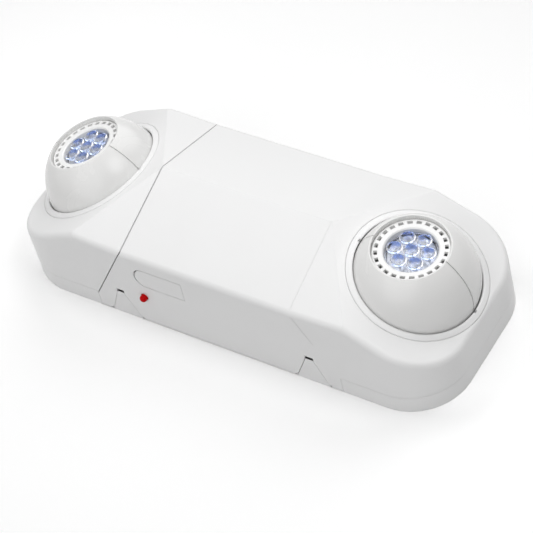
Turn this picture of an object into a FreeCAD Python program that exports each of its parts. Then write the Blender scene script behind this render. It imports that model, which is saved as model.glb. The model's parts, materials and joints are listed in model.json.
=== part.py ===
import FreeCAD, Part
import math
import os
from FreeCAD import Vector as V

os.makedirs("parts", exist_ok=True)

# Twin-head emergency light, lying on its back.  Millimetres.
# X runs along the unit, +Z points out of the wall, -Y is the side with the
# test tab and the status light.  The origin is the centre of the back face.

# ---- housing ---------------------------------------------------------------
half_length = 167.9
half_width = 65.6
corner_r = 39.8
side_draft = 0.042          # the long walls lean inwards
wall = 2.5

apex_x = 65.7               # where the ridge breaks down to the lamp ends
ridge_z = 83.1
roof_fall = 0.328           # ridge to long edge
facet_rise = 0.048          # the corner facets climb a little towards the ends
plate_fall = 0.451          # slope of the lamp ends
edge_round = 4.5

rim_z = 13.4                # height of the back housing's rim
rim_x = 96.0                # from here outwards that rim is on show
plate_t = 2.5
foot_wall = 2.2             # upstand of the back housing inside the cover
seam_lean = 0.6             # the end cover's seam runs out and down the walls
seam_z = 62.6
seam_gap = 0.6
crease_w = 0.5              # shallow line in the near side, the seam's mirror image
crease_depth = 0.15
crease_low = 38.5
fit_gap = 0.3               # between the cover and the housing inside it

# ---- lamp heads -------------------------------------------------------------
plate_angle = math.degrees(math.atan(plate_fall))
ring_x = 124.0
ball_r = 41.9
ball_wall = 2.0
ball_sink = 6.6             # ball centre below the lamp end's face
collar_r = 46.6
collar_bore = 42.25
collar_skirt = 44.7
collar_rise = 1.0
collar_depth = 13.0
collar_seat = 1.5           # thickness of its flange, let into the lamp end
collar_gap = 0.12
notch_w = 2.4               # nicks in its lip in line with the ball's parting
notch_depth = 1.1
sleeve_wall = 2.1           # bearing sleeve behind the lamp end
sleeve_depth = 5.2
pivot_r = 3.0
pivot_play = 0.08
mouth_r = 26.3
sleeve_r = 25.4
parting_y = -1.6
right_tilt = 2.9            # optical axes, measured from straight out
left_tilt = -17.2

# ---- reflector lamp ---------------------------------------------------------
lamp_r = 25.0
lamp_front = 29.8           # lamp face above the ball's centre
lamp_flange = 2.2
optic_r = 17.2
lens_r = 5.2
lens_pitch = 10.9
right_turn = 10.7           # how far each lens cluster is turned in its lamp
left_turn = -11.2
vent_count = 24
vent_w = 3.4
fin_count = 12
pin_pitch = 5.3

# ---- mounting ---------------------------------------------------------------
entry_r = 11.1              # half-inch trade size conduit entry
box_screws = 88.9
wall_screws = (230.0, 76.0)
screw_r = 2.6
cover_screws = (150.0, 46.0)

# ---- test tab, status light and release flaps in the near wall --------------
tab_z = 45.1
tab_h = 15.4
tab_left = -57.0
tab_hinge = -18.8
tab_gap = 0.3
tab_end_gap = 0.9           # wider round its free end
hinge_gap = 0.06            # where the web would join it to the cover
led_at = (-53.9, 25.9)
led_r = 2.6
led_out = 4.0               # how far its dome stands out of the wall
led_gap = 0.25
led_body = 5.6              # from the wall's face to the spacer behind it
flaps = (((61.3, 86.6), (71.0, 76.7), (0.3, 0.06)),
         ((-86.0, -61.4), (-77.3, -72.2), (0.06, 0.06)))   # foot, top, side gaps
flap_z = 21.6
flap_lip = 0.35             # their top edge is cut back behind this, as a lead-in
lead_in = 1.9
foot_gap = 0.6              # the cover stops short of the back face
slot_h = 2.5
slot_over = 0.3             # the slot runs a little past the flap's top edge
nick = 1.2                  # nick in the foot at each corner of a flap

# ---- works -------------------------------------------------------------------
cell_r = 11.4
cell_l = 43.0
cell_x = -71.0
strap_y = 34.0
strap_feet = (-76.5, 3.0, 25.5, 78.5)
board_x = (-78.0, -16.0)
board_y = -50.0
board_z = 7.0
board_top = 57.0
board_posts = (-72.0, -24.0)
entry_y = -14.0
strap_post = 3.5            # posts the strap feet are screwed to
press_travel = 0.9


def save(name, shape):
    shape.exportStep("parts/%s.step" % name)


def box(x0, x1, y0, y1, z0, z1):
    x0, x1 = min(x0, x1), max(x0, x1)
    return Part.makeBox(x1 - x0, y1 - y0, z1 - z0, V(x0, y0, z0))


def cyl(r, h, at=(0, 0, 0), along=(0, 0, 1)):
    return Part.makeCylinder(r, h, V(*at), V(*along))


def prism(points, vector):
    wire = Part.makePolygon([V(*p) for p in points + points[:1]])
    return Part.Face(wire).extrude(V(*vector))


def revolve(points):
    """Solid of revolution about Z from (r, z) points."""
    wire = Part.makePolygon([V(r, 0, z) for r, z in points + points[:1]])
    return Part.Face(wire).revolve(V(0, 0, 0), V(0, 0, 1), 360)


def rounded_outline(hx, hy, r, z):
    c = math.sqrt(0.5)
    edges = []
    for sx, sy in ((1, -1), (1, 1), (-1, 1), (-1, -1)):
        cx, cy = sx * (hx - r), sy * (hy - r)
        a, b = V(cx, sy * hy, z), V(sx * hx, cy, z)
        mid = V(cx + sx * r * c, cy + sy * r * c, z)
        first, last = (a, b) if sx * sy < 0 else (b, a)
        edges.append(Part.Arc(first, mid, last).toShape())
    ring = []
    for i, edge in enumerate(edges):
        ring.append(edge)
        nxt = edges[(i + 1) % 4]
        ring.append(Part.makeLine(edge.Vertexes[-1].Point, nxt.Vertexes[0].Point))
    return Part.Wire(ring)


def trim(shape, point, normal):
    """Cut away what lies on the normal's side of a plane."""
    n = V(*normal)
    tool = Part.makeBox(900, 900, 400, V(-450, -450, 0))
    tool.Placement = FreeCAD.Placement(V(*point), FreeCAD.Rotation(V(0, 0, 1), n))
    return shape.cut(tool)


def form(inset=0.0):
    """The housing's outside, or the same form drawn in by a wall thickness."""
    top = 100.0
    lean = side_draft * top
    low = rounded_outline(half_length - inset, half_width - inset, corner_r - inset, 0)
    high = rounded_outline(half_length - inset, half_width - inset - lean, corner_r - inset - lean, top)
    block = Part.makeLoft([low, high], True, True)
    roof_drop = inset * math.hypot(1, roof_fall)
    facet_drop = inset * math.hypot(1, roof_fall, facet_rise)
    plate_drop = inset * math.hypot(1, plate_fall)
    middle = block.common(box(-apex_x, apex_x, -80, 80, -1, 110))
    right = block.common(box(apex_x, 200, -80, 80, -1, 110))
    for side in (-1, 1):
        middle = trim(middle, (0, 0, ridge_z - roof_drop), (0, side * roof_fall, 1))
        right = trim(right, (apex_x, 0, ridge_z - facet_drop), (-facet_rise, side * roof_fall, 1))
    right = trim(right, (apex_x, 0, ridge_z - plate_drop), (plate_fall, 0, 1))
    left = right.mirror(V(0, 0, 0), V(1, 0, 0))
    return middle.fuse([right, left]).removeSplitter()


def upper_edges(shape):
    """Edges where a wall meets the roof, the facets or the lamp ends."""
    found = []
    for edge in shape.Edges:
        faces = shape.ancestorsOfType(edge, Part.Face)
        if len(faces) != 2:
            continue
        tilt = []
        for face in faces:
            u0, u1, v0, v1 = face.ParameterRange
            tilt.append(abs(face.normalAt((u0 + u1) / 2, (v0 + v1) / 2).z))
        if min(tilt) < 0.3 and max(tilt) > 0.6 and edge.BoundBox.ZMin > 5:
            found.append(edge)
    return found


def place(shape, angle, at):
    out = shape.copy()
    out.Placement = FreeCAD.Placement(V(*at), FreeCAD.Rotation(V(0, 1, 0), angle))
    return out


def ring_centre(side):
    return (side * ring_x, 0, ridge_z - plate_fall * (ring_x - apex_x))


def ball_centre(side):
    a = math.radians(plate_angle)
    x, y, z = ring_centre(side)
    return (x - side * ball_sink * math.sin(a), 0, z - ball_sink * math.cos(a))


# ---- covers -------------------------------------------------------------------
outside = form()
outside = outside.makeFillet(edge_round, upper_edges(outside))
inside = form(wall)
skin = outside.cut(inside)
rim_space = box(rim_x, 200, -80, 80, -1, rim_z).fuse(box(-200, -rim_x, -80, 80, -1, rim_z))


def wall_y(z):
    """Outer face of the near wall at a height."""
    return side_draft * z - half_width


def lamp_end(cover, side):
    """Recess, opening and bearing sleeve for a lamp collar."""
    sleeve = cyl(collar_r + sleeve_wall, sleeve_depth, (0, 0, -sleeve_depth))
    sleeve = place(sleeve, side * plate_angle, ring_centre(side)).common(outside)
    seat = cyl(collar_r + collar_gap, 20, (0, 0, -collar_seat - 0.1))
    hole = cyl(collar_skirt + collar_gap, 30, (0, 0, -15)).fuse(seat)
    return cover.fuse(sleeve).cut(place(hole, side * plate_angle, ring_centre(side)))


def seam_side(offset):
    """Region on the end cover's side of the seam."""
    x0 = -apex_x - offset
    return prism([(x0, -90, 120), (x0, -90, seam_z), (x0 - seam_lean * (seam_z + 5), -90, -5),
                  (-260, -90, -5), (-260, -90, 120)], (0, 180, 0))


shell = skin.cut(rim_space).cut(box(-rim_x, rim_x, -80, 80, -1, foot_gap))
for sx in (-1, 1):
    for sy in (-1, 1):
        x, y = sx * cover_screws[0], sy * cover_screws[1]
        shell = shell.fuse(cyl(4.0, 60, (x, y, 4.2)).common(outside))
        shell = shell.cut(cyl(1.45, 14, (x, y, 4.0)))
shell = lamp_end(lamp_end(shell, 1), -1)
end_cover = shell.common(seam_side(seam_gap / 2))
main_cover = shell.cut(seam_side(-seam_gap / 2))

# A shallow crease runs down the near side where a second seam would mirror the first.
crease = seam_side(-crease_w / 2).cut(seam_side(crease_w / 2)).mirror(V(0, 0, 0), V(1, 0, 0))
crease = crease.common(box(0, 200, -80, 0, crease_low, 110))
main_cover = main_cover.cut(crease.cut(form(crease_depth)))


def flap_outline(foot, top, gaps=(0, 0)):
    """Outline of a release flap in the near wall, wide at the foot."""
    a, b = foot[0] - gaps[0], foot[1] + gaps[1]
    c, d = top[0] - gaps[0], top[1] + gaps[1]
    return prism([(a, -75, -2), (b, -75, -2), (b, -75, 0), (d, -75, flap_z), (c, -75, flap_z),
                  (a, -75, 0)], (0, 25, 0))


def tab_outline(gap=0.0, end_gap=0.0, far_gap=0.0):
    """Oblong press tab, round at its free end."""
    r = tab_h / 2 + gap
    cx = tab_left + r - end_gap
    body = cyl(r, 30, (cx, -80, tab_z), (0, 1, 0))
    return body.fuse(box(cx, tab_hinge + far_gap, -80, -50, tab_z - r, tab_z + r)).removeSplitter()


for foot_x, top_x, gaps in flaps:
    main_cover = main_cover.cut(flap_outline(foot_x, top_x, gaps))
    main_cover = main_cover.cut(box(top_x[0] - slot_over, top_x[1] + slot_over, -75, -50, flap_z,
                                    flap_z + slot_h))
    for x in foot_x:
        main_cover = main_cover.cut(box(x - nick, x + nick, -75, -50, -1, foot_gap + nick))
main_cover = main_cover.cut(tab_outline(tab_gap, tab_end_gap, hinge_gap))
led_x, led_z = led_at
main_cover = main_cover.cut(cyl(led_r + led_gap, 30, (led_x, -80, led_z), (0, 1, 0)))
tongue = box(-apex_x - 6, -apex_x + 6, -20, 20, 60, 120).common(inside).cut(form(wall + 1.6))
main_cover = main_cover.fuse(tongue)
save("main_cover", main_cover)
save("left_end_cover", end_cover)

# The press tab is the same skin.  Its boss stops just short of the switch plunger.
button_x = tab_left + tab_h / 2
plunger_y = board_y - 4.9
boss_y = wall_y(tab_z) + wall - 0.3
boss = cyl(3.2, plunger_y - press_travel - boss_y, (button_x, boss_y, tab_z), (0, 1, 0))
save("test_tab", skin.common(tab_outline()).fuse(boss).removeSplitter())

# ---- back housing --------------------------------------------------------------
foot = form(wall + fit_gap).common(box(-rim_x - 20, rim_x + 20, -80, 80, -1, rim_z))
ends = outside.common(rim_space)
well = form(wall + fit_gap + foot_wall).common(box(-rim_x, rim_x, -80, 80, plate_t, 100))
end_well = inside.common(box(rim_x - 0.1, 200, -80, 80, plate_t, 100))
well = well.fuse([end_well, end_well.mirror(V(0, 0, 0), V(1, 0, 0))])
back = foot.fuse(ends).cut(well)
for foot_x, top_x, gaps in flaps:
    flap = outside.cut(form(foot_wall)).fuse(box(foot_x[0], foot_x[1], -64.5, -60, 0, plate_t))
    lip_y = wall_y(flap_z) + flap_lip
    wedge = prism([(-90, lip_y, flap_z), (-90, lip_y + 4, flap_z), (-90, lip_y + 4, flap_z - 4 * lead_in)],
                  (180, 0, 0))
    back = back.fuse(flap.common(flap_outline(foot_x, top_x)).cut(wedge))
for x in strap_feet:
    back = back.fuse(cyl(3.4, strap_post, (x, strap_y, plate_t)))
    back = back.cut(cyl(1.45, 9, (x, strap_y, plate_t)))
for x in board_posts:
    post = box(x - 4, x + 4, board_y - 3, board_y + 4.6, plate_t, 12)
    back = back.fuse(post.cut(box(x - 5, x + 5, board_y - 0.1, board_y + 1.7, board_z, 20)))
for side in (-1, 1):
    back = back.fuse(box(side * 88 - 1, side * 88 + 1, -30, 30, plate_t, 9))
    for sy in (-1, 1):
        x, y = side * cover_screws[0], sy * cover_screws[1]
        back = back.fuse(cyl(5.0, 4.0, (x, y, 0)))
        back = back.cut(cyl(1.7, 9, (x, y, -1))).cut(cyl(3.1, 2.7, (x, y, -1)))
        back = back.cut(cyl(screw_r, 10, (side * wall_screws[0] / 2, sy * wall_screws[1] / 2, -2)))
    back = back.cut(cyl(screw_r, 10, (side * box_screws / 2, entry_y, -2)))
back = back.cut(cyl(entry_r, 10, (0, entry_y, -2)))
save("back_housing", back.removeSplitter())


def screw(head_r, head_h, shank_r, length, at, along):
    """Pan-head screw, its head's underside at the point given."""
    a = V(*along)
    head = cyl(head_r, head_h, (0, 0, -head_h)).cut(box(-head_r, head_r, -0.4, 0.4, -head_h, 0.8 - head_h))
    out = head.fuse(cyl(shank_r, length))
    out.Placement = FreeCAD.Placement(V(*at), FreeCAD.Rotation(V(0, 0, 1), a))
    return out


save("cover_screws", Part.makeCompound(
    [screw(2.9, 1.5, 1.4, 14, (sx * cover_screws[0], sy * cover_screws[1], 1.7), (0, 0, 1))
     for sx in (-1, 1) for sy in (-1, 1)]))

# ---- works inside ----------------------------------------------------------------
cells = None
for i in range(3):
    x = cell_x + (2 * i + 1) * cell_r
    cell = cyl(cell_r, cell_l, (x, strap_y - cell_l / 2, plate_t + 0.2 + cell_r), (0, 1, 0))
    cell = cell.fuse(cyl(4, 1, (x, strap_y + cell_l / 2, plate_t + 0.2 + cell_r), (0, 1, 0)))
    cells = cell if cells is None else cells.fuse(cell)
web = box(cell_x + cell_r, cell_x + 5 * cell_r, strap_y - cell_l / 2, strap_y + cell_l / 2,
          plate_t + 0.2, plate_t + 0.2 + 2 * cell_r)
save("battery_pack", cells.fuse(web).removeSplitter())


def strap(x0, x1, top, foot0, foot1, half):
    """Sheet-metal strap over a block, with a foot at either end."""
    z = plate_t + strap_post
    run = [(foot0 - 4, z), (x0, z), (x0, top), (x1, top), (x1, z), (foot1 + 4, z)]
    over = [(foot1 + 4, z + 1), (x1 + 1, z + 1), (x1 + 1, top + 1), (x0 - 1, top + 1), (x0 - 1, z + 1),
            (foot0 - 4, z + 1)]
    body = prism([(x, strap_y - half, z) for x, z in run + over], (0, 2 * half, 0))
    for x in (foot0, foot1):
        body = body.cut(cyl(1.6, 20, (x, strap_y, 0)))
    return body


pack_top = plate_t + 0.2 + 2 * cell_r
pack_end = cell_x + 6 * cell_r
save("battery_strap", strap(cell_x - 0.1, pack_end + 0.1, pack_top, strap_feet[0], strap_feet[1], 5))
core_x0, core_x1, core_z0, core_z1 = 31.0, 73.0, plate_t, 37.5
core = box(core_x0, core_x1, strap_y - 8, strap_y + 8, core_z0, core_z1)
for x in (core_x0 + 7, core_x1 - 14):
    core = core.cut(box(x, x + 7, strap_y - 9, strap_y + 9, core_z0 + 7, core_z1 - 7))
save("transformer_core", core)
coil = box(core_x0 + 7.2, core_x1 - 7.2, strap_y - 15, strap_y + 15, core_z0 + 7.2, core_z1 - 7.2)
coil = coil.makeFillet(3.0, [e for e in coil.Edges if abs(e.tangentAt(e.FirstParameter).z) > 0.9])
coil = coil.cut(box(core_x0 + 14, core_x1 - 14, strap_y - 8, strap_y + 8, 0, 60))
save("transformer_coil", coil)
save("transformer_strap", strap(core_x0 - 0.1, core_x1 + 0.1, core_z1, strap_feet[2], strap_feet[3], 6))
save("strap_screws", Part.makeCompound(
    [screw(2.8, 1.8, 1.4, 4.0, (x, strap_y, plate_t + strap_post + 1), (0, 0, -1)) for x in strap_feet]))

board = box(board_x[0], board_x[1], board_y, board_y + 1.6, board_z, board_top)
save("charger_board", board)
relay = box(-36, -20, board_y + 1.6, board_y + 17, 20, 32)
save("board_relay", relay.makeFillet(0.8, relay.Edges))
save("board_capacitors", Part.makeCompound(
    [cyl(4.0, 14, (x, board_y + 1.6, 44), (0, 1, 0)).cut(cyl(3.2, 1, (x, board_y + 15.2, 44), (0, 1, 0)))
     for x in (-68, -57)]))
switch = box(button_x - 3, button_x + 3, board_y - 3.5, board_y, tab_z - 3, tab_z + 3)
save("test_switch", switch.fuse(cyl(1.7, 1.4, (button_x, plunger_y, tab_z), (0, 1, 0))))
light_y = wall_y(led_z)
dome_y = light_y + led_r - led_out
dome = cyl(led_r, light_y + led_body - dome_y, (led_x, dome_y, led_z), (0, 1, 0))
dome = dome.fuse(Part.makeSphere(led_r, V(led_x, dome_y, led_z)))
dome = dome.fuse(cyl(led_r + 0.45, 1.0, (led_x, light_y + led_body - 1.0, led_z), (0, 1, 0)))
save("status_light", dome.removeSplitter())
spacer = cyl(3.4, board_y - light_y - led_body, (led_x, light_y + led_body, led_z), (0, 1, 0))
save("light_spacer", spacer.cut(cyl(1.8, 30, (led_x, light_y, led_z), (0, 1, 0))))
block = box(14, 44, -52, -40, plate_t, 17)
for i in range(3):
    x = 19 + 10 * i
    block = block.cut(cyl(2.6, 6, (x, -46, 12))).cut(box(x - 2.5, x + 2.5, -41.5, -30, 5, 11))
save("terminal_block", block)
save("terminal_screws", Part.makeCompound(
    [cyl(2.5, 2.2, (19 + 10 * i, -46, 12)).cut(box(15 + 10 * i, 23 + 10 * i, -46.4, -45.6, 13.4, 15))
     for i in range(3)]))


def lead(points, r):
    wire = Part.makePolygon([V(*p) for p in points])
    start = wire.Edges[0]
    ring = Part.Wire(Part.Circle(V(*points[0]), start.tangentAt(0), r).toShape())
    return wire.makePipeShell([ring], True, False, 2)


save("battery_leads", Part.makeCompound(
    [lead([(x, strap_y - cell_l / 2, 20 + dz), (x, -8 - dz, 20 + dz), (x, -8 - dz, 36 + dz),
           (x, board_y + 1.6, 36 + dz)], 0.9) for x, dz in ((-44, 0), (-40, 3))]))
save("supply_leads", Part.makeCompound(
    [lead([(x, strap_y - 15, 22), (x, strap_y - 19, 22), (end, -12, 22), (end, -12, 8),
           (end, -41.5, 8)], 0.9) for x, end in ((41, 29), (49, 39))]))


# ---- lamp heads, each built with its axis along Z and then set at its angle --------
def collar():
    """Bearing ring: flange in the lamp end, skirt with snap lugs, pivot holes."""
    ring = revolve([(collar_bore, -collar_depth), (collar_bore, collar_rise - 0.4),
                    (collar_bore + 0.5, collar_rise), (collar_bore + 1.5, collar_rise), (collar_r, 0.05),
                    (collar_r, -collar_seat), (collar_skirt, -collar_seat), (collar_skirt, -collar_depth)])
    lug = revolve([(collar_skirt - 0.2, -5.4), (collar_skirt + 1.1, -5.6), (collar_skirt + 1.1, -6.4),
                   (collar_skirt - 0.2, -7.6)])
    for i in range(4):
        wedge = box(30, 60, -6, 6, -9, -4)
        wedge.rotate(V(0, 0, 0), V(0, 0, 1), 45 + 90 * i)
        ring = ring.fuse(lug.common(wedge))
    reach = collar_bore + notch_depth
    ring = ring.cut(box(-reach, reach, parting_y - notch_w / 2, parting_y + notch_w / 2, -2, 5))
    return ring.cut(cyl(pivot_r + pivot_play, 120, (0, -60, -ball_sink), (0, 1, 0)))


mouth_h = math.sqrt(ball_r ** 2 - mouth_r ** 2)


def head_shells():
    """Ball in two halves: mouth sleeve and lamp ledge in front, wire opening behind."""
    ball = Part.makeSphere(ball_r).cut(Part.makeSphere(ball_r - ball_wall))
    sleeve = cyl(sleeve_r + 1.8, 20, (0, 0, mouth_h - 19)).common(Part.makeSphere(ball_r))
    ball = ball.fuse(sleeve).cut(cyl(sleeve_r, 40, (0, 0, lamp_front - lamp_flange)))
    ball = ball.cut(cyl(23.4, 20, (0, 0, mouth_h - 20)))
    ball = ball.cut(cyl(sleeve_r, 16, (0, 0, lamp_front - lamp_flange - 1.6 - 16)))
    ball = ball.cut(box(-60, 60, -60, 60, mouth_h, 80)).cut(cyl(13, 20, (0, 0, -50)))
    for side in (-1, 1):
        y0 = ball_r - 1.2 if side > 0 else -collar_skirt + 0.4
        ball = ball.fuse(cyl(pivot_r, collar_skirt - 0.4 - ball_r + 1.2, (0, y0, 0), (0, 1, 0)))
        post = cyl(3.4, 22, (side * 30, -11, -14), (0, 1, 0))
        web = box(side * 30, side * 37, -11, 11, -15, -13).common(Part.makeSphere(ball_r - 1))
        post = post.fuse(web)
        ball = ball.fuse(post)
    groove = cyl(ball_r + 1, 0.8, (0, parting_y - 0.4, 0), (0, 1, 0)).cut(
        cyl(ball_r - 0.9, 0.8, (0, parting_y - 0.4, 0), (0, 1, 0)))
    ball = ball.cut(groove.common(box(-60, 60, -60, 60, -60, mouth_h)))
    front = ball.common(box(-60, 60, -60, parting_y - 0.05, -60, 60))
    rear = ball.common(box(-60, 60, parting_y + 0.05, 60, -60, 60))
    for side in (-1, 1):
        front = front.fuse(cyl(1.5, 8, (side * 30, parting_y - 2, -14), (0, 1, 0)))
        rear = rear.cut(cyl(1.56, 8, (side * 30, parting_y - 0.5, -14), (0, 1, 0)))
    return front.removeSplitter(), rear.removeSplitter()


def lamp():
    """Reflector lamp: vented face ring, finned body and pin base."""
    f = lamp_front
    body = revolve([(0, f - 8.6), (optic_r + 0.2, f - 8.6), (optic_r + 0.2, f - 0.8), (optic_r + 1.0, f),
                    (lamp_r - 0.5, f), (lamp_r, f - 0.5), (lamp_r, f - lamp_flange), (20.8, f - lamp_flange),
                    (20.6, f - 10), (11.5, f - 34), (9.5, f - 37), (9.5, f - 45), (0, f - 45)])
    slot = box(21.2, 23.5, -vent_w / 2, vent_w / 2, f - 4, f + 1)
    for i in range(vent_count):
        cut = slot.copy()
        cut.rotate(V(0, 0, 0), V(0, 0, 1), 360.0 * i / vent_count)
        body = body.cut(cut)
    fin = box(15, 24, -0.8, 0.8, f - 33, f - 11)
    for i in range(fin_count):
        cut = fin.copy()
        cut.rotate(V(0, 0, 0), V(0, 0, 1), 360.0 * (i + 0.5) / fin_count)
        body = body.cut(cut.cut(cyl(14.5, 60, (0, 0, -20))))
    for x in (-pin_pitch / 2, pin_pitch / 2):
        body = body.cut(cyl(0.75, 5, (x, 0, f - 45)))
    return body


def lens_spots(turn):
    """Centres of the middle lens and the six round it."""
    spots = [(0.0, 0.0)]
    for i in range(6):
        a = math.radians(60 * i + turn)
        spots.append((lens_pitch * math.cos(a), lens_pitch * math.sin(a)))
    return spots


def optic(turn):
    """Seven collimating lenses on one moulded plate."""
    base = lamp_front - 6.6
    plate = cyl(optic_r, 1.4, (0, 0, base))
    bowl = revolve([(0, base + 1), (3.6, base + 1), (lens_r, base + 4.4), (lens_r - 0.4, base + 4.8),
                    (3.2, base + 5.5), (1.6, base + 5.8), (0, base + 5.9)])
    for x, y in lens_spots(turn):
        lens = bowl.copy()
        lens.translate(V(x, y, 0))
        plate = plate.fuse(lens)
    return plate


def emitter_board(turn):
    base = lamp_front - 8.6
    board = cyl(optic_r - 0.2, 1.4, (0, 0, base))
    for x, y in lens_spots(turn):
        board = board.fuse(box(x - 1.2, x + 1.2, y - 1.2, y + 1.2, base + 1.2, base + 1.9))
    return board


def holder():
    top = lamp_front - 45
    block = box(-9, 9, -6, 6, top - 12, top)
    block = block.makeFillet(1.5, [e for e in block.Edges if abs(e.tangentAt(e.FirstParameter).z) > 0.9])
    for x in (-pin_pitch / 2, pin_pitch / 2):
        block = block.cut(cyl(0.8, 9, (x, 0, top - 8)))
    return block


def lamp_pins():
    top = lamp_front - 45
    return Part.makeCompound([cyl(0.75, 12, (x, 0, top - 7)) for x in (-pin_pitch / 2, pin_pitch / 2)])


def head_leads():
    top = lamp_front - 57
    return Part.makeCompound([cyl(0.9, 9, (x, 0, top - 9)) for x in (-pin_pitch / 2, pin_pitch / 2)])


front_shell, rear_shell = head_shells()
heads = (("right", 1, right_tilt, right_turn), ("left", -1, left_tilt, left_turn))
for name, side, tilt, turn in heads:
    save(name + "_collar", place(collar(), side * plate_angle, ring_centre(side)))
    at = ball_centre(side)
    for part_name, shape in (("front_shell", front_shell), ("rear_shell", rear_shell),
                             ("lamp", lamp()), ("lens_cluster", optic(turn)),
                             ("emitter_board", emitter_board(turn)), ("lamp_holder", holder()),
                             ("lamp_pins", lamp_pins()), ("head_leads", head_leads())):
        save("%s_%s" % (name, part_name), place(shape, tilt, at))
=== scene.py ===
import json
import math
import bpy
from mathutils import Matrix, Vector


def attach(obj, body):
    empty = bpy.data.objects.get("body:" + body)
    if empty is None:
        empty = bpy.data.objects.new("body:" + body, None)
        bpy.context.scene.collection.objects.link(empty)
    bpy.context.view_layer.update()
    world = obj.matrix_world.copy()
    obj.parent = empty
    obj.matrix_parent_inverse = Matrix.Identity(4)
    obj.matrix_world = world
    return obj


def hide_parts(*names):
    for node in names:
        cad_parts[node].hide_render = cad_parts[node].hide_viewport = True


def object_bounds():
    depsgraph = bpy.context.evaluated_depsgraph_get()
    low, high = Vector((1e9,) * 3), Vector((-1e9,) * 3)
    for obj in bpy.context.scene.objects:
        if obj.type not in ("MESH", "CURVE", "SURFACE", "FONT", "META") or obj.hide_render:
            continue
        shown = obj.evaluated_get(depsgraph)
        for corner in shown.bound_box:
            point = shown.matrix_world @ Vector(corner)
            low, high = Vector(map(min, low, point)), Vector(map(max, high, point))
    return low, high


bl_info = {
    "name": "Twin-head emergency light",
    "version": (1, 0, 0),
    "blender": (4, 5, 0),
    "location": "View3D > Sidebar > Emergency Light",
    "description": "Finishes, lamp optics and studio for a twin-head emergency light",
    "category": "Object",
}

import bmesh
import bpy
from bpy.props import FloatProperty, FloatVectorProperty, IntProperty, PointerProperty
from mathutils import Matrix, Vector

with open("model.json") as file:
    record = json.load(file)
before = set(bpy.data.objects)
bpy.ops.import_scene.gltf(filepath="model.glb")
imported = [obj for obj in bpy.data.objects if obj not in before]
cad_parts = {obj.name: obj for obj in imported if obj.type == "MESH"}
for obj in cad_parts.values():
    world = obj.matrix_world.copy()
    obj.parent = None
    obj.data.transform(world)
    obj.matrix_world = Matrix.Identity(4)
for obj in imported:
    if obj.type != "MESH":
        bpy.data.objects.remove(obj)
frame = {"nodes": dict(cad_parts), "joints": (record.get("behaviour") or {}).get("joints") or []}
CAD_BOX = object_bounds()
NODES = frame["nodes"]
JOINTS = {j["name"]: j for j in frame["joints"]}
MM = 0.001

# tilt: how far the optical axis turns about +Y from upright, in degrees; both
# heads lean outwards. turn: how far the lens cluster is turned in its lamp.
HEADS = {
    "right": {"body": "right_head", "tilt": 2.9, "turn": 10.7},
    "left": {"body": "left_head", "tilt": -17.2, "turn": -11.2},
}


def head_matrix(side):
    """Place of a lamp head: its origin is the ball's centre and +Z its optical axis."""
    centre = Vector(JOINTS[side + "_tilt"]["pos_m"])
    return Matrix.Translation(centre) @ Matrix.Rotation(math.radians(HEADS[side]["tilt"]), 4, "Y")


# ---- settings ---------------------------------------------------------------


class EMLIGHT_PG_finish(bpy.types.PropertyGroup):
    """Colours and surface of the mouldings."""

    housing: FloatVectorProperty(
        name="Housing", description="Colour of the covers and the base", subtype="COLOR",
        size=3, min=0, max=1, default=(0.86, 0.86, 0.86))
    heads: FloatVectorProperty(
        name="Lamp heads", description="Colour of the ball shells", subtype="COLOR",
        size=3, min=0, max=1, default=(0.83, 0.828, 0.82))
    lamps: FloatVectorProperty(
        name="Lamps", description="Colour of the lamp bodies", subtype="COLOR",
        size=3, min=0, max=1, default=(0.93, 0.93, 0.925))
    signal: FloatVectorProperty(
        name="Status light", description="Colour of the status light", subtype="COLOR",
        size=3, min=0, max=1, default=(0.55, 0.002, 0.003))
    edge: FloatProperty(
        name="Edge radius", description="How far the housing's moulded edges look rounded", unit="LENGTH",
        min=0, max=0.004, default=1.2 * MM)
    head_edge: FloatProperty(
        name="Head edge radius", description="How far the edges of the ball shells look rounded",
        unit="LENGTH", min=0, max=0.004, default=0.48 * MM)
    lamp_edge: FloatProperty(
        name="Lamp edge radius", description="How far the edges of the lamp bodies look rounded",
        unit="LENGTH", min=0, max=0.004, default=0.4 * MM)
    grain: FloatProperty(
        name="Grain", description="Size of the mould's spark-eroded grain", unit="LENGTH",
        min=0.0001, max=0.002, default=0.45 * MM)


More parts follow.
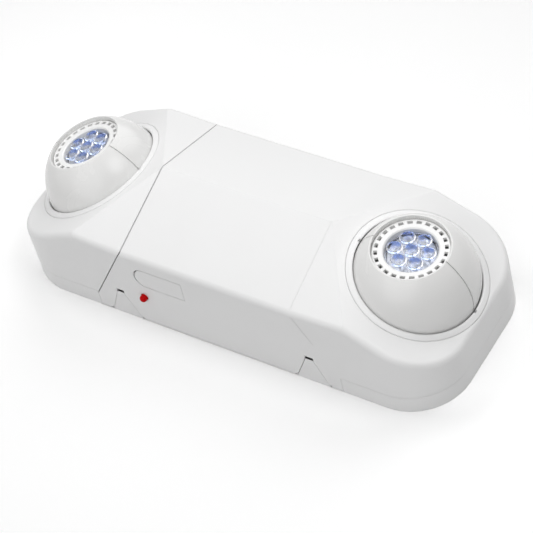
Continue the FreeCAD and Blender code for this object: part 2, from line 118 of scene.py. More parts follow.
class EMLIGHT_PG_optics(bpy.types.PropertyGroup):
    """Sizes of the lens clusters."""

    plate: FloatProperty(
        name="Plate radius", description="Radius of the moulded lens plate", unit="LENGTH",
        min=0.005, max=0.03, default=17.1 * MM)
    plate_floor: FloatProperty(
        name="Plate thickness", description="Thickness of the lens plate inside its rim", unit="LENGTH",
        min=0.0001, max=0.005, default=0.9 * MM)
    rim_height: FloatProperty(
        name="Rim height", description="Height of the rim round the lens plate", unit="LENGTH",
        min=0.0001, max=0.01, default=2.6 * MM)
    rim_top: FloatProperty(
        name="Rim top", description="Width of that rim at its top", unit="LENGTH",
        min=0.0001, max=0.005, default=0.9 * MM)
    rim_foot: FloatProperty(
        name="Rim foot", description="Width of that rim at its foot", unit="LENGTH",
        min=0.0001, max=0.005, default=1.2 * MM)
    rim_round: FloatProperty(
        name="Rim rounding", description="How far the plate's corners are rounded", unit="LENGTH",
        min=0, max=0.002, default=0.3 * MM)
    base: FloatProperty(
        name="Plate height", description="Plate's underside above the ball's centre", unit="LENGTH",
        min=0, max=0.05, default=23.2 * MM)
    lens: FloatProperty(
        name="Lens radius", description="Radius of each lens at its rim", unit="LENGTH",
        min=0.002, max=0.01, default=5.2 * MM)
    lens_seat: FloatProperty(
        name="Lens seat", description="How far the lenses stand above the plate's underside", unit="LENGTH",
        min=0, max=0.01, default=1.0 * MM)
    pitch: FloatProperty(
        name="Pitch", description="Distance from the middle lens to the outer ones", unit="LENGTH",
        min=0.002, max=0.02, default=10.9 * MM)
    emitter: FloatProperty(
        name="Emitter radius", description="Radius of the emitter under each lens", unit="LENGTH",
        min=0.0003, max=0.005, default=1.15 * MM)
    emitter_sink: FloatProperty(
        name="Emitter sink", description="How far the emitters lie below the plate", unit="LENGTH",
        min=0, max=0.005, default=0.09 * MM)
    phosphor: FloatVectorProperty(
        name="Phosphor", description="Colour of the emitters", subtype="COLOR",
        size=3, min=0, max=1, default=(0.9, 0.8, 0.42))
    outer: IntProperty(
        name="Outer lenses", description="Number of lenses round the middle one", min=3, max=12, default=6)
    tint: FloatVectorProperty(
        name="Tint", description="Tint of the clear moulding", subtype="COLOR",
        size=3, min=0, max=1, default=(0.88, 0.885, 0.9))
    # Painted reflection: this colour is painted onto one side of each lens in place of reflected light. The
    # lenses have no such coating.
    flare: FloatVectorProperty(
        name="Flare", description="Colour of the coated side of each lens", subtype="COLOR",
        size=3, min=0, max=1, default=(0.25, 0.42, 0.98))
    painted_reflection_bearing: FloatProperty(
        name="Flare bearing", description="Side of each lens that the colour is strongest on",
        subtype="ANGLE", default=math.radians(110))


class EMLIGHT_PG_mouth(bpy.types.PropertyGroup):
    """Grip ribs inside the mouth of a lamp head."""

    count: IntProperty(name="Ribs", description="Ribs round the mouth", min=12, max=240, default=120)
    radius: FloatProperty(
        name="Radius", description="Radius of the mouth sleeve's wall", unit="LENGTH",
        min=0.01, max=0.05, default=25.4 * MM)
    low: FloatProperty(
        name="Low end", description="Where the ribs begin above the ball's centre", unit="LENGTH",
        min=0, max=0.05, default=29.85 * MM)
    high: FloatProperty(
        name="High end", description="Where the ribs end above the ball's centre", unit="LENGTH",
        min=0, max=0.05, default=32.2 * MM)
    width: FloatProperty(
        name="Width", description="Width of a rib", unit="LENGTH", min=0.0001, max=0.003, default=0.55 * MM)
    depth: FloatProperty(
        name="Depth", description="How far a rib stands out", unit="LENGTH",
        min=0.0001, max=0.003, default=0.35 * MM)
    root: FloatProperty(
        name="Root", description="How far a rib reaches into the sleeve's wall", unit="LENGTH",
        min=0, max=0.001, default=0.1 * MM)


class EMLIGHT_PG_stage(bpy.types.PropertyGroup):
    """Floor, light and camera."""

    floor: FloatVectorProperty(
        name="Floor", description="Colour of the floor", subtype="COLOR",
        size=3, min=0, max=1, default=(0.78, 0.78, 0.78))
    floor_size: FloatProperty(
        name="Floor size", description="Radius of the floor", unit="LENGTH", min=1, max=100, default=12.0)
    floor_near: FloatProperty(
        name="Near floor", description="Radius of the floor's inner ring of faces", unit="LENGTH",
        min=0.2, max=10, default=1.0)
    sky: FloatProperty(name="Sky", description="Strength of the even light", min=0, max=5, default=0.05)
    lift: FloatProperty(
        name="Floor lift", description="How much brighter the floor looks than it is lit",
        min=0, max=1, default=0.46)
    box_left: FloatProperty(
        name="Left softbox", description="Power of the softbox above the left head", unit="POWER",
        min=0, max=50, default=1.31)
    box_right: FloatProperty(
        name="Right softbox", description="Power of the softbox above the right head", unit="POWER",
        min=0, max=50, default=1.38)
    box_size: FloatProperty(
        name="Softbox size", description="Diameter of each softbox", unit="LENGTH",
        min=0.01, max=5, default=0.4)
    box_reach: FloatProperty(
        name="Softbox reach", description="How far out from the middle each softbox hangs", unit="LENGTH",
        min=0, max=5, default=0.33)
    box_height: FloatProperty(
        name="Softbox height", description="Height of the softboxes above the floor", unit="LENGTH",
        min=0.1, max=5, default=0.65)
    near_fill: FloatProperty(
        name="Near fill", description="Strength of the fill light on the near side",
        min=0, max=20, default=1.08)
    far_fill: FloatProperty(
        name="Far fill", description="Strength of the fill light on the far side",
        min=0, max=20, default=1.34)
    fill_height: FloatProperty(
        name="Fill height", description="How high the fill lights stand", subtype="ANGLE",
        min=0, max=math.pi / 2, default=math.radians(36.87))
    spread: FloatProperty(
        name="Fill spread", description="Angular size of the fill lights", subtype="ANGLE",
        min=0, max=math.pi, default=math.radians(60))
    target: FloatVectorProperty(
        name="Aim", description="Point that the camera looks at", subtype="XYZ", unit="LENGTH",
        size=3, default=(0.01856, -0.01994, 0.04))
    distance: FloatProperty(
        name="Distance", description="Camera's distance from that point", unit="LENGTH",
        min=0.1, max=20, default=1.42583)
    azimuth: FloatProperty(
        name="Azimuth", description="Camera's bearing from +X", subtype="ANGLE",
        default=math.radians(-46.065))
    elevation: FloatProperty(
        name="Elevation", description="Camera's height above the horizon", subtype="ANGLE",
        default=math.radians(48.0))
    roll: FloatProperty(
        name="Roll", description="Camera's turn about its line of sight", subtype="ANGLE",
        default=math.radians(-16.8))
    lens: FloatProperty(
        name="Lens", description="Focal length in millimetres", min=10, max=500, default=147.53)


# ---- shader groups ------------------------------------------------------------

DUST_COLOUR = (0.42, 0.40, 0.37, 1)


def new_group(name, inputs, outputs):
    group = bpy.data.node_groups.new(name, "ShaderNodeTree")
    for label, kind, value in inputs:
        socket = group.interface.new_socket(label, in_out="INPUT", socket_type=kind)
        if value is not None:
            socket.default_value = value
    for label, kind in outputs:
        group.interface.new_socket(label, in_out="OUTPUT", socket_type=kind)
    return group, group.nodes.new("NodeGroupInput"), group.nodes.new("NodeGroupOutput")


def add(tree, kind, links=None, **settings):
    """Add a node. links maps its inputs to sockets or plain values."""
    node = tree.nodes.new(kind)
    for key, value in settings.items():
        setattr(node, key, value)
    for key, value in (links or {}).items():
        if isinstance(value, bpy.types.NodeSocket):
            tree.links.new(value, node.inputs[key])
        else:
            node.inputs[key].default_value = value
    return node


def combine(tree, operation, a, b):
    """Result of a Math node on two sockets or numbers."""
    return add(tree, "ShaderNodeMath", {0: a, 1: b}, operation=operation).outputs[0]


def blend(tree, factor, a, b):
    """Colour between a and b."""
    mix = add(tree, "ShaderNodeMix", {"Factor": factor, "A": a, "B": b}, data_type="RGBA")
    return [socket for socket in mix.outputs if socket.type == "RGBA"][0]


def seen_directly(tree):
    """1 for rays from the camera, in a mirror or through glass."""
    path = add(tree, "ShaderNodeLightPath").outputs
    either = combine(tree, "MAXIMUM", path["Is Camera Ray"], path["Is Glossy Ray"])
    return combine(tree, "MAXIMUM", either, path["Is Transmission Ray"])


def ramp(tree, factor, low, high, start=0.0, end=1.0):
    """Map a value from start..end to low..high, and keep it there."""
    return add(tree, "ShaderNodeMapRange", {"Value": factor, "From Min": start, "From Max": end,
                                            "To Min": low, "To Max": high}).outputs["Result"]


def moulded_group():
    """Injection-moulded plastic: cloudy tone, spark-eroded grain and faint handling marks."""
    group, given, out = new_group(
        "Moulded plastic",
        [("Colour", "NodeSocketColor", (0.8, 0.8, 0.8, 1)), ("Gloss", "NodeSocketFloat", 0.4),
         ("Grain", "NodeSocketFloat", 2200.0), ("Relief", "NodeSocketFloat", 0.3),
         ("Variation", "NodeSocketFloat", 0.02), ("Dust", "NodeSocketFloat", 0.03),
         ("Wear", "NodeSocketFloat", 0.12)],
        [("Colour", "NodeSocketColor"), ("Roughness", "NodeSocketFloat"), ("Height", "NodeSocketFloat")])
    place = add(group, "ShaderNodeTexCoord").outputs["Object"]
    cloud = add(group, "ShaderNodeTexNoise", {"Vector": place, "Scale": 9.0, "Detail": 3.0}).outputs["Fac"]
    grain = add(group, "ShaderNodeTexNoise", {"Vector": place, "Scale": given.outputs["Grain"],
                                              "Detail": 2.0}).outputs["Fac"]
    pit = add(group, "ShaderNodeTexVoronoi", {"Vector": place, "Scale": given.outputs["Grain"]},
              feature="SMOOTH_F1").outputs["Distance"]
    smear = add(group, "ShaderNodeTexNoise", {"Vector": place, "Scale": 38.0, "Detail": 5.0,
                                              "Distortion": 0.6}).outputs["Fac"]
    tone = combine(group, "MULTIPLY", ramp(group, cloud, -0.5, 0.5, 0.3, 0.7), given.outputs["Variation"])
    level = combine(group, "ADD", 1.0, tone)
    toned = add(group, "ShaderNodeVectorMath", {0: given.outputs["Colour"], "Scale": level},
                operation="SCALE").outputs["Vector"]
    dust = combine(group, "MULTIPLY", ramp(group, smear, 0.0, 1.0, 0.5, 0.75), given.outputs["Dust"])
    worn = combine(group, "MULTIPLY", ramp(group, smear, -0.4, 0.6, 0.25, 0.75), given.outputs["Wear"])
    rough = combine(group, "ADD", given.outputs["Gloss"], worn)
    height = combine(group, "MULTIPLY", combine(group, "ADD", grain, pit), given.outputs["Relief"])
    group.links.new(blend(group, dust, toned, DUST_COLOUR), out.inputs["Colour"])
    group.links.new(rough, out.inputs["Roughness"])
    group.links.new(height, out.inputs["Height"])
    return group


def metal_group():
    """Drawn or stamped metal: fine lines along one axis, with tarnish in patches."""
    group, given, out = new_group(
        "Worked metal",
        [("Colour", "NodeSocketColor", (0.6, 0.6, 0.6, 1)),
         ("Tarnish", "NodeSocketColor", (0.3, 0.28, 0.25, 1)),
         ("Amount", "NodeSocketFloat", 0.3), ("Gloss", "NodeSocketFloat", 0.3)],
        [("Colour", "NodeSocketColor"), ("Roughness", "NodeSocketFloat"), ("Height", "NodeSocketFloat")])
    place = add(group, "ShaderNodeTexCoord").outputs["Object"]
    turned = add(group, "ShaderNodeMapping", {"Vector": place, "Scale": (1.0, 1.0, 12.0)}).outputs["Vector"]
    lines = add(group, "ShaderNodeTexNoise", {"Vector": turned, "Scale": 900.0,
                                              "Detail": 3.0}).outputs["Fac"]
    patch = add(group, "ShaderNodeTexNoise", {"Vector": place, "Scale": 160.0, "Detail": 5.0}).outputs["Fac"]
    mask = combine(group, "MULTIPLY", ramp(group, patch, 0.0, 1.0, 0.45, 0.7), given.outputs["Amount"])
    tarnished = blend(group, mask, given.outputs["Colour"], given.outputs["Tarnish"])
    rough = combine(group, "ADD", given.outputs["Gloss"], ramp(group, lines, -0.08, 0.12))
    group.links.new(tarnished, out.inputs["Colour"])
    group.links.new(rough, out.inputs["Roughness"])
    group.links.new(lines, out.inputs["Height"])
    return group


# ---- materials ---------------------------------------------------------------


def new_material(name):
    material = bpy.data.materials.new(name)
    material.use_nodes = True
    material.node_tree.nodes.clear()
    tree = material.node_tree
    shader = tree.nodes.new("ShaderNodeBsdfPrincipled")
    out = tree.nodes.new("ShaderNodeOutputMaterial")
    tree.links.new(shader.outputs["BSDF"], out.inputs["Surface"])
    return material, tree, shader


def place_group(tree, group, values):
    node = tree.nodes.new("ShaderNodeGroup")
    node.node_tree = group
    for key, value in values.items():
        node.inputs[key].default_value = value
    return node


def rgba(colour):
    return (*colour, 1.0)


def surface(name, group, values, relief=0.02 * MM, edge=0.0, **constants):
    """Material from a surface group, with constants on the shader's own sockets."""
    material, tree, shader = new_material(name)
    skin = place_group(tree, group, values)
    tree.links.new(skin.outputs["Colour"], shader.inputs["Base Color"])
    tree.links.new(skin.outputs["Roughness"], shader.inputs["Roughness"])
    bump = add(tree, "ShaderNodeBump", {"Height": skin.outputs["Height"], "Distance": relief,
                                        "Strength": 1.0})
    if edge:
        soft = add(tree, "ShaderNodeBevel", {"Radius": edge}, samples=6)
        tree.links.new(soft.outputs["Normal"], bump.inputs["Normal"])
    tree.links.new(bump.outputs["Normal"], shader.inputs["Normal"])
    for key, value in constants.items():
        shader.inputs[key.replace("_", " ")].default_value = value
    return material


def finish(material, *names):
    for name in names:
        for slot in NODES[name].material_slots:
            slot.material = material


# ---- meshes ------------------------------------------------------------------


def mesh_object(name, mesh):
    piece = bpy.data.objects.new(name, mesh)
    bpy.context.scene.collection.objects.link(piece)
    return piece


def lathe(name, profile, sides):
    """Mesh of revolution about Z through (radius, height) points."""
    work = bmesh.new()
    rings = []
    for radius, height in profile:
        count = 1 if radius == 0 else sides
        angles = [2 * math.pi * i / sides for i in range(count)]
        rings.append([work.verts.new((radius * math.cos(angle), radius * math.sin(angle), height))
                      for angle in angles])
    for a, b in zip(rings, rings[1:]):
        for i in range(sides):
            j = (i + 1) % sides
            corners = [a[i % len(a)], a[j % len(a)], b[j % len(b)], b[i % len(b)]]
            work.faces.new(list(dict.fromkeys(corners)))
    bmesh.ops.recalc_face_normals(work, faces=work.faces)
    for face in work.faces:
        face.smooth = True
    mesh = bpy.data.meshes.new(name)
    work.to_mesh(mesh)
    work.free()
    return mesh


def rounded(points, radius, steps=3):
    """Profile with its marked corners rounded. A point is (r, z) or (r, z, True)."""
    out = []
    count = len(points)
    for i, point in enumerate(points):
        here = Vector(point[:2])
        if len(point) < 3:
            out.append(here)
            continue
        before = Vector(points[i - 1][:2]) - here
        after = Vector(points[(i + 1) % count][:2]) - here
        cut = min(radius, before.length * 0.45, after.length * 0.45)
        a, b = here + before.normalized() * cut, here + after.normalized() * cut
        for k in range(steps + 1):
            t = k / steps
            out.append(a * (1 - t) ** 2 + here * 2 * t * (1 - t) + b * t * t)
    return [(p.x, p.y) for p in out]


def mark_side(mesh, bearing, radius):
    """Store how far each point lies towards one side, from -1 to 1."""
    side = mesh.attributes.new("side", "FLOAT", "POINT")
    for vertex, value in zip(mesh.vertices, side.data):
        value.value = (vertex.co.x * math.cos(bearing) + vertex.co.y * math.sin(bearing)) / radius


def geometry_tree(name, inputs):
    tree = bpy.data.node_groups.new(name, "GeometryNodeTree")
    tree.interface.new_socket("Geometry", in_out="INPUT", socket_type="NodeSocketGeometry")
    for label, kind in inputs:
        tree.interface.new_socket(label, in_out="INPUT", socket_type=kind)
    tree.interface.new_socket("Geometry", in_out="OUTPUT", socket_type="NodeSocketGeometry")
    return tree, tree.nodes.new("NodeGroupInput"), tree.nodes.new("NodeGroupOutput")


def run_tree(name, base, tree, values, where):
    """Mesh that a geometry tree makes, moved into place."""
    holder = mesh_object(name + "_work", base)
    modifier = holder.modifiers.new("Tree", "NODES")
    modifier.node_group = tree
    names = {i.name: i.identifier for i in tree.interface.items_tree
             if i.item_type == "SOCKET" and i.in_out == "INPUT"}
    for label, value in values.items():
        modifier[names[label]] = value
    bpy.context.view_layer.update()
    made = holder.evaluated_get(bpy.context.evaluated_depsgraph_get())
    mesh = bpy.data.meshes.new_from_object(made)
    holder.modifiers.remove(modifier)
    bpy.data.objects.remove(holder)
    mesh.name = name
    mesh.transform(where)
    return mesh_object(name, mesh)


def lens_ring_tree():
    """One lens in the middle and a ring of them round it."""
    tree, given, out = geometry_tree(
        "Lens ring", [("Outer lenses", "NodeSocketInt"), ("Pitch", "NodeSocketFloat"),
                      ("Turn", "NodeSocketFloat"), ("Material", "NodeSocketMaterial")])
    ring = add(tree, "GeometryNodeMeshCircle", {"Vertices": given.outputs["Outer lenses"],
                                                "Radius": given.outputs["Pitch"]})
    spun = add(tree, "GeometryNodeTransform", {"Geometry": ring.outputs["Mesh"]})
    angle = add(tree, "ShaderNodeCombineXYZ", {"Z": given.outputs["Turn"]})
    tree.links.new(angle.outputs["Vector"], spun.inputs["Rotation"])
    middle = add(tree, "GeometryNodeMeshLine", {"Count": 1})
    points = add(tree, "GeometryNodeJoinGeometry")
    tree.links.new(spun.outputs["Geometry"], points.inputs["Geometry"])
    tree.links.new(middle.outputs["Mesh"], points.inputs["Geometry"])
    placed = add(tree, "GeometryNodeInstanceOnPoints", {"Points": points.outputs["Geometry"],
                                                        "Instance": given.outputs["Geometry"]})
    real = add(tree, "GeometryNodeRealizeInstances", {"Geometry": placed.outputs["Instances"]})
    finished = add(tree, "GeometryNodeSetMaterial", {"Geometry": real.outputs["Geometry"],
                                                     "Material": given.outputs["Material"]})
    tree.links.new(finished.outputs["Geometry"], out.inputs["Geometry"])
    return tree


def rib_ring_tree():
    """Ribs that stand inwards round a sleeve, each turned to face its middle."""
    tree, given, out = geometry_tree(
        "Rib ring", [("Ribs", "NodeSocketInt"), ("Radius", "NodeSocketFloat"),
                     ("Material", "NodeSocketMaterial")])
    ring = add(tree, "GeometryNodeMeshCircle", {"Vertices": given.outputs["Ribs"],
                                                "Radius": given.outputs["Radius"]})
    outward = add(tree, "GeometryNodeInputPosition").outputs["Position"]
    facing = add(tree, "FunctionNodeAlignRotationToVector", {"Vector": outward}, axis="X")
    placed = add(tree, "GeometryNodeInstanceOnPoints", {"Points": ring.outputs["Mesh"],
                                                        "Instance": given.outputs["Geometry"],
                                                        "Rotation": facing.outputs["Rotation"]})
    real = add(tree, "GeometryNodeRealizeInstances", {"Geometry": placed.outputs["Instances"]})
    finished = add(tree, "GeometryNodeSetMaterial", {"Geometry": real.outputs["Geometry"],
                                                     "Material": given.outputs["Material"]})
    tree.links.new(finished.outputs["Geometry"], out.inputs["Geometry"])
    return tree


# ---- optics -------------------------------------------------------------------


def clear_optic(sizes):
    """Clear moulding whose lenses carry a painted bluish reflection on one side: a blue colour that stands
    in for reflected light, not a real coating.
    """
    clear, tree, shader = new_material("clear_optic")
    place = add(tree, "ShaderNodeTexCoord").outputs["Object"]
    ripple = add(tree, "ShaderNodeTexNoise", {"Vector": place, "Scale": 420.0, "Detail": 2.0}).outputs["Fac"]
    bump = add(tree, "ShaderNodeBump", {"Height": ripple, "Distance": 0.03 * MM})
    side = add(tree, "ShaderNodeAttribute", attribute_name="side").outputs["Fac"]
    ragged_side = combine(tree, "ADD", side, ramp(tree, ripple, -0.25, 0.25))
    # Painted reflection: each lens is coloured bluish towards one side, in place of reflected light.
    painted_reflection = ramp(tree, ragged_side, 0.0, 0.9, 0.25, 0.65)
    colour = blend(tree, painted_reflection, rgba(sizes.tint), rgba(sizes.flare))
    tree.links.new(colour, shader.inputs["Base Color"])
    tree.links.new(ramp(tree, ripple, 0.02, 0.07), shader.inputs["Roughness"])
    tree.links.new(bump.outputs["Normal"], shader.inputs["Normal"])
    shader.inputs["Transmission Weight"].default_value = 1.0
    shader.inputs["IOR"].default_value = 1.49
    return clear


def lens_cup(r):
    """One collimating lens of rim radius r: a flared cup with a domed middle."""
    flare = [(0, 0), (0.36, 0), (0.62, 0.32), (0.86, 0.62, True)]
    rim = [(1, 0.84, True), (1, 0.95, True), (0.84, 1, True)]
    dome = [(0.58, 0.72, True), (0.5, 0.66), (0.36, 0.86), (0.2, 0.96), (0, 1)]
    profile = [(x * r, z * r, *corner) for x, z, *corner in flare + rim + dome]
    return lathe("lens_cup", rounded(profile, 0.12 * r), 32)


def emitter_disc(r):
    """Flat emitter of radius r with a softened edge."""
    profile = [(0, 0), (r, 0), (r, 0.05 * r, True), (0, 0.06 * r)]
    return lathe("emitter", rounded(profile, 0.04 * r), 24)


def lens_plate(name, sizes):
    """Clear plate that joins the lenses, with a rim round it."""
    outside, top, floor = sizes.plate, sizes.rim_height, sizes.plate_floor
    profile = [(0, 0), (outside, 0, True), (outside, top, True), (outside - sizes.rim_top, top, True),
               (outside - sizes.rim_foot, floor, True), (0, floor)]
    return lathe(name, rounded(profile, sizes.rim_round), 96)


# ---- mouth --------------------------------------------------------------------


def grip_rib(sizes):
    """One upright rib with a five-sided section that points inwards, towards -X."""
    half, deep = sizes.width / 2, sizes.depth
    outline = [(sizes.root, -half), (-deep * 0.7, -half * 0.6), (-deep, 0), (-deep * 0.7, half * 0.6),
               (sizes.root, half)]
    work = bmesh.new()
    low = [work.verts.new((x, y, sizes.low)) for x, y in outline]
    high = [work.verts.new((x, y, sizes.high)) for x, y in outline]
    for i in range(len(outline)):
        j = (i + 1) % len(outline)
        work.faces.new((low[i], low[j], high[j], high[i]))
    work.faces.new(low[::-1])
    work.faces.new(high)
    bmesh.ops.recalc_face_normals(work, faces=work.faces)
    rib = bpy.data.meshes.new("rib")
    work.to_mesh(rib)
    work.free()
    return rib


# ---- stage --------------------------------------------------------------------


def floor_material(sizes):
    """Matt white, brighter to the eye than it is lit."""
    material, tree, shader = new_material("floor_white")
    grain = add(tree, "ShaderNodeTexNoise", {"Scale": 60.0, "Detail": 2.0}).outputs["Fac"]
    gain = ramp(tree, seen_directly(tree), 1.0, 1.0 + sizes.lift)
    tone = combine(tree, "MULTIPLY", gain, ramp(tree, grain, 0.995, 1.005))
    red, green, blue = [combine(tree, "MULTIPLY", value, tone) for value in sizes.floor]
    colour = add(tree, "ShaderNodeCombineColor", {"Red": red, "Green": green, "Blue": blue})
    tree.links.new(colour.outputs["Color"], shader.inputs["Base Color"])
    shader.inputs["Roughness"].default_value = 0.9
    shader.inputs["Specular IOR Level"].default_value = 0.0
    return material


def lay_floor(sizes):
    floor = mesh_object("floor", lathe("floor", [(0, 0), (sizes.floor_near, 0), (sizes.floor_size, 0)], 48))
    for face in floor.data.polygons:
        face.use_smooth = False
    floor.location.z = CAD_BOX[0][2]
    floor.data.materials.append(floor_material(sizes))


def light_world(scene, sizes):
    """White to the eye, and a weak even light on the object."""
    world = bpy.data.worlds.new("Studio")
    scene.world = world
    world.use_nodes = True
    tree = world.node_tree
    background = tree.nodes["Background"]
    strength = add(tree, "ShaderNodeMix", {"Factor": seen_directly(tree), 2: sizes.sky, 3: 1.0})
    tree.links.new(strength.outputs[0], background.inputs["Strength"])
    background.inputs["Color"].default_value = (1, 1, 1, 1)


def aim_light(light, place, target):
    lamp = bpy.data.objects.new(light.name, light)
    bpy.context.scene.collection.objects.link(lamp)
    lamp.location = place
    lamp.rotation_euler = (target - place).to_track_quat("-Z", "Y").to_euler()


def hang_lights(sizes):
    """A softbox above each end, and a broad fill light on each long side."""
    middle = Vector((0, 0, (CAD_BOX[0][2] + CAD_BOX[1][2]) / 2))
    for name, side, power in (("box_left", -1, sizes.box_left), ("box_right", 1, sizes.box_right)):
        box = bpy.data.lights.new(name, "AREA")
        box.shape = "DISK"
        box.size = sizes.box_size
        box.energy = power
        aim_light(box, Vector((side * sizes.box_reach, 0, sizes.box_height)), middle)
    for name, side, strength in (("near_fill", -1, sizes.near_fill), ("far_fill", 1, sizes.far_fill)):
        fill = bpy.data.lights.new(name, "SUN")
        fill.energy = strength
        fill.angle = sizes.spread
        bearing = Vector((0, side * math.cos(sizes.fill_height), math.sin(sizes.fill_height)))
        aim_light(fill, middle + bearing, middle)


def place_camera(scene, sizes):
    data = bpy.data.cameras.new("camera")
    data.lens = sizes.lens
    data.sensor_width = 36.0
    data.clip_end = 100.0
    camera = bpy.data.objects.new("camera", data)
    scene.collection.objects.link(camera)
    flat = math.cos(sizes.elevation)
    back = Vector((flat * math.cos(sizes.azimuth), flat * math.sin(sizes.azimuth),
                   math.sin(sizes.elevation)))
    level = Vector((0, 0, 1)).cross(back).normalized()
    axes = Matrix((level, back.cross(level), back)).transposed().to_4x4()
    place = Matrix.Translation(Vector(sizes.target) + back * sizes.distance)
    camera.matrix_world = place @ axes @ Matrix.Rotation(sizes.roll, 4, "Z")
    scene.camera = camera


# ---- operators ----------------------------------------------------------------


class EMLIGHT_OT_housing(bpy.types.Operator):
    """Finish the base, the covers, the collars and the test tab"""

    bl_idname = "emlight.housing"
    bl_label = "Housing"

    def execute(self, context):
        finish_set = context.scene.emlight_finish
        skin = surface("housing_white", bpy.data.node_groups["Moulded plastic"],
                       {"Colour": rgba(finish_set.housing), "Gloss": 0.42, "Grain": 1 / finish_set.grain,
                        "Relief": 0.5, "Variation": 0.015, "Dust": 0.01, "Wear": 0.06},
                       edge=finish_set.edge, IOR=1.5)
        finish(skin, "back_housing", "main_cover", "left_end_cover", "test_tab",
               "right_collar", "left_collar")
        return {"FINISHED"}


class EMLIGHT_OT_heads(bpy.types.Operator):
    """Finish the ball shells of both lamp heads"""

    bl_idname = "emlight.heads"
    bl_label = "Lamp heads"

    def execute(self, context):
        finish_set = context.scene.emlight_finish
        skin = surface("head_white", bpy.data.node_groups["Moulded plastic"],
                       {"Colour": rgba(finish_set.heads), "Gloss": 0.27, "Grain": 1 / finish_set.grain,
                        "Relief": 0.2, "Variation": 0.004, "Dust": 0.0, "Wear": 0.01},
                       edge=finish_set.head_edge, IOR=1.5)
        finish(skin, *[side + part for side in HEADS for part in ("_front_shell", "_rear_shell")])
        return {"FINISHED"}


class EMLIGHT_OT_lamps(bpy.types.Operator):
    """Finish the reflector lamps, their holders, pins and leads"""

    bl_idname = "emlight.lamps"
    bl_label = "Lamps"

    def execute(self, context):
        groups = bpy.data.node_groups
        finish_set = context.scene.emlight_finish
        body = surface("lamp_white", groups["Moulded plastic"],
                       {"Colour": rgba(finish_set.lamps), "Gloss": 0.3, "Grain": 1500.0, "Relief": 0.3,
                        "Variation": 0.02, "Dust": 0.01}, edge=finish_set.lamp_edge, IOR=1.52)
        board = surface("emitter_board", groups["Worked metal"],
                        {"Colour": (0.72, 0.75, 0.82, 1), "Tarnish": (0.5, 0.52, 0.58, 1), "Amount": 0.5,
                         "Gloss": 0.3}, relief=0.01 * MM, Metallic=0.6)
        ceramic = surface("ceramic", groups["Moulded plastic"],
                          {"Colour": (0.72, 0.69, 0.62, 1), "Gloss": 0.6, "Grain": 900.0, "Relief": 0.8,
                           "Variation": 0.1, "Dust": 0.15}, relief=0.06 * MM)
        brass = surface("brass", groups["Worked metal"],
                        {"Colour": (0.78, 0.6, 0.3, 1), "Tarnish": (0.35, 0.22, 0.1, 1), "Amount": 0.4,
                         "Gloss": 0.25}, Metallic=1.0)
        black = surface("wire_black", groups["Moulded plastic"],
                        {"Colour": (0.03, 0.03, 0.032, 1), "Gloss": 0.4, "Grain": 2500.0, "Relief": 0.3,
                         "Variation": 0.2, "Dust": 0.1})
        for side in HEADS:
            finish(body, side + "_lamp")
            finish(board, side + "_emitter_board")
            finish(ceramic, side + "_lamp_holder")
            finish(brass, side + "_lamp_pins")
            finish(black, side + "_head_leads")
        return {"FINISHED"}


class EMLIGHT_OT_optics(bpy.types.Operator):
    """Add the lenses, lens plate and emitters of each lamp"""

    bl_idname = "emlight.optics"
    bl_label = "Lens clusters"

    def execute(self, context):
        sizes = context.scene.emlight_optics
        clear = clear_optic(sizes)
        phosphor = surface("phosphor", bpy.data.node_groups["Moulded plastic"],
                           {"Colour": rgba(sizes.phosphor), "Gloss": 0.5, "Grain": 2600.0, "Relief": 0.6,
                            "Variation": 0.2, "Dust": 0.0})
        lens = lens_cup(sizes.lens)
        # The side attribute places the painted bluish reflection on each lens.
        mark_side(lens, sizes.painted_reflection_bearing, sizes.lens)
        emitter = emitter_disc(sizes.emitter)
        tree = lens_ring_tree()
        for side, head in HEADS.items():
            where = head_matrix(side) @ Matrix.Translation((0, 0, sizes.base))
            above = Matrix.Translation((0, 0, sizes.lens_seat))
            below = Matrix.Translation((0, 0, -sizes.emitter_sink))
            layout = {"Outer lenses": sizes.outer, "Pitch": sizes.pitch, "Turn": math.radians(head["turn"])}
            lenses = run_tree(side + "_lenses", lens.copy(), tree,
                              {**layout, "Material": clear}, where @ above)
            plate = lens_plate(side + "_lens_plate", sizes)
            plate.transform(where)
            disc = mesh_object(side + "_lens_plate", plate)
            disc.data.materials.append(clear)
            for piece in (lenses, disc):
                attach(piece, head["body"])
            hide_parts(side + "_lens_cluster")
            emitters = run_tree(side + "_emitters", emitter.copy(), tree,
                                {**layout, "Material": phosphor}, where @ below)
            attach(emitters, head["body"])
        return {"FINISHED"}


class EMLIGHT_OT_ribs(bpy.types.Operator):
    """Add the grip ribs in the mouth of each lamp head"""

    bl_idname = "emlight.ribs"
    bl_label = "Mouth ribs"

    def execute(self, context):
        sizes = context.scene.emlight_mouth
        rib = grip_rib(sizes)
        tree = rib_ring_tree()
        for side, head in HEADS.items():
            ribs = run_tree(side + "_mouth_ribs", rib.copy(), tree,
                            {"Ribs": sizes.count, "Radius": sizes.radius,
                             "Material": bpy.data.materials["head_white"]}, head_matrix(side))
            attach(ribs, head["body"])
        return {"FINISHED"}


class EMLIGHT_OT_status(bpy.types.Operator):
    """Finish the red status light"""

    bl_idname = "emlight.status"
    bl_label = "Status light"

    def execute(self, context):
        finish_set = context.scene.emlight_finish
        red = surface("red_lens", bpy.data.node_groups["Moulded plastic"],
                      {"Colour": rgba(finish_set.signal), "Gloss": 0.3, "Grain": 900.0, "Relief": 0.2,
                       "Variation": 0.25, "Dust": 0.0}, Specular_IOR_Level=0.06)
        finish(red, "status_light")
        return {"FINISHED"}


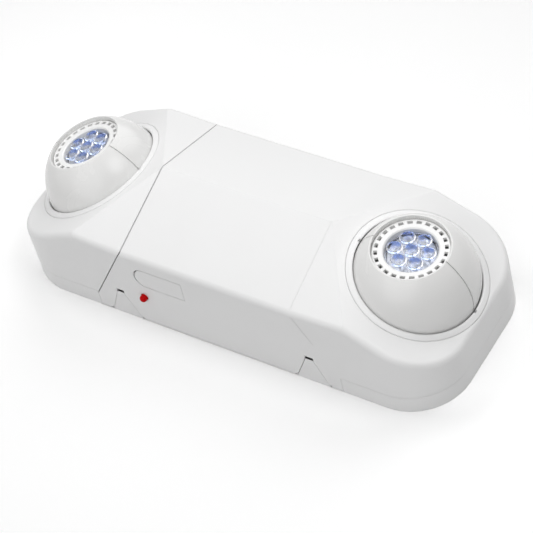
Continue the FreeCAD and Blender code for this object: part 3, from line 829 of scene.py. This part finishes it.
class EMLIGHT_OT_works(bpy.types.Operator):
    """Finish the battery, transformer, boards and wiring inside"""

    bl_idname = "emlight.works"
    bl_label = "Works"

    def execute(self, context):
        groups = bpy.data.node_groups
        plastic, metal = groups["Moulded plastic"], groups["Worked metal"]
        steel = surface("steel", metal, {"Colour": (0.62, 0.62, 0.63, 1), "Tarnish": (0.3, 0.26, 0.22, 1),
                                         "Amount": 0.3, "Gloss": 0.3}, Metallic=1.0)
        black = surface("black_plastic", plastic,
                        {"Colour": (0.028, 0.028, 0.03, 1), "Gloss": 0.42, "Grain": 1800.0, "Relief": 0.5,
                         "Variation": 0.2, "Dust": 0.12})
        wrap = surface("battery_wrap", plastic,
                       {"Colour": (0.03, 0.12, 0.3, 1), "Gloss": 0.28, "Grain": 420.0, "Relief": 0.7,
                        "Variation": 0.15, "Dust": 0.05}, relief=0.05 * MM, Coat_Weight=0.4)
        tape = surface("winding_tape", plastic,
                       {"Colour": (0.72, 0.52, 0.12, 1), "Gloss": 0.35, "Grain": 700.0, "Relief": 0.6,
                        "Variation": 0.12, "Dust": 0.08}, relief=0.05 * MM)
        board = surface("board_green", plastic,
                        {"Colour": (0.02, 0.16, 0.07, 1), "Gloss": 0.3, "Grain": 1100.0, "Relief": 0.5,
                         "Variation": 0.3, "Dust": 0.05}, Coat_Weight=0.3)
        red = surface("wire_red", plastic,
                      {"Colour": (0.55, 0.02, 0.015, 1), "Gloss": 0.4, "Grain": 2500.0, "Relief": 0.3,
                       "Variation": 0.15, "Dust": 0.05})
        finish(steel, "cover_screws", "strap_screws", "battery_strap", "transformer_strap",
               "transformer_core", "terminal_screws")
        finish(black, "board_relay", "board_capacitors", "test_switch", "light_spacer", "terminal_block")
        finish(wrap, "battery_pack")
        finish(tape, "transformer_coil")
        finish(board, "charger_board")
        finish(red, "battery_leads")
        finish(bpy.data.materials["wire_black"], "supply_leads")
        return {"FINISHED"}


class EMLIGHT_OT_stage(bpy.types.Operator):
    """Lay the floor and set the light and the camera"""

    bl_idname = "emlight.stage"
    bl_label = "Stage"

    def execute(self, context):
        scene = context.scene
        sizes = scene.emlight_stage
        lay_floor(sizes)
        light_world(scene, sizes)
        hang_lights(sizes)
        place_camera(scene, sizes)
        scene.view_settings.view_transform = "Standard"
        return {"FINISHED"}


class EMLIGHT_PT_panel(bpy.types.Panel):
    """Settings and steps for the emergency light"""

    bl_label = "Emergency light"
    bl_idname = "EMLIGHT_PT_panel"
    bl_space_type = "VIEW_3D"
    bl_region_type = "UI"
    bl_category = "Emergency Light"

    def draw(self, context):
        for group in ("emlight_finish", "emlight_optics", "emlight_mouth", "emlight_stage"):
            settings = getattr(context.scene, group)
            box = self.layout.box()
            for name in settings.__annotations__:
                box.prop(settings, name)
        for step in STEPS:
            self.layout.operator(step.bl_idname)


SETTINGS = {
    "emlight_finish": EMLIGHT_PG_finish,
    "emlight_optics": EMLIGHT_PG_optics,
    "emlight_mouth": EMLIGHT_PG_mouth,
    "emlight_stage": EMLIGHT_PG_stage,
}
STEPS = (EMLIGHT_OT_housing, EMLIGHT_OT_heads, EMLIGHT_OT_lamps, EMLIGHT_OT_optics, EMLIGHT_OT_ribs,
         EMLIGHT_OT_status, EMLIGHT_OT_works, EMLIGHT_OT_stage)


def register():
    for group in SETTINGS.values():
        bpy.utils.register_class(group)
    for name, group in SETTINGS.items():
        setattr(bpy.types.Scene, name, PointerProperty(type=group))
    for step in STEPS:
        bpy.utils.register_class(step)
    bpy.utils.register_class(EMLIGHT_PT_panel)


def unregister():
    bpy.utils.unregister_class(EMLIGHT_PT_panel)
    for step in reversed(STEPS):
        bpy.utils.unregister_class(step)
    for name, group in reversed(SETTINGS.items()):
        delattr(bpy.types.Scene, name)
        bpy.utils.unregister_class(group)


def main():
    register()
    moulded_group()
    metal_group()
    bpy.ops.emlight.housing()
    bpy.ops.emlight.heads()
    bpy.ops.emlight.lamps()
    bpy.ops.emlight.optics()
    bpy.ops.emlight.ribs()
    bpy.ops.emlight.status()
    bpy.ops.emlight.works()
    bpy.ops.emlight.stage()


if __name__ == "__main__":
    main()
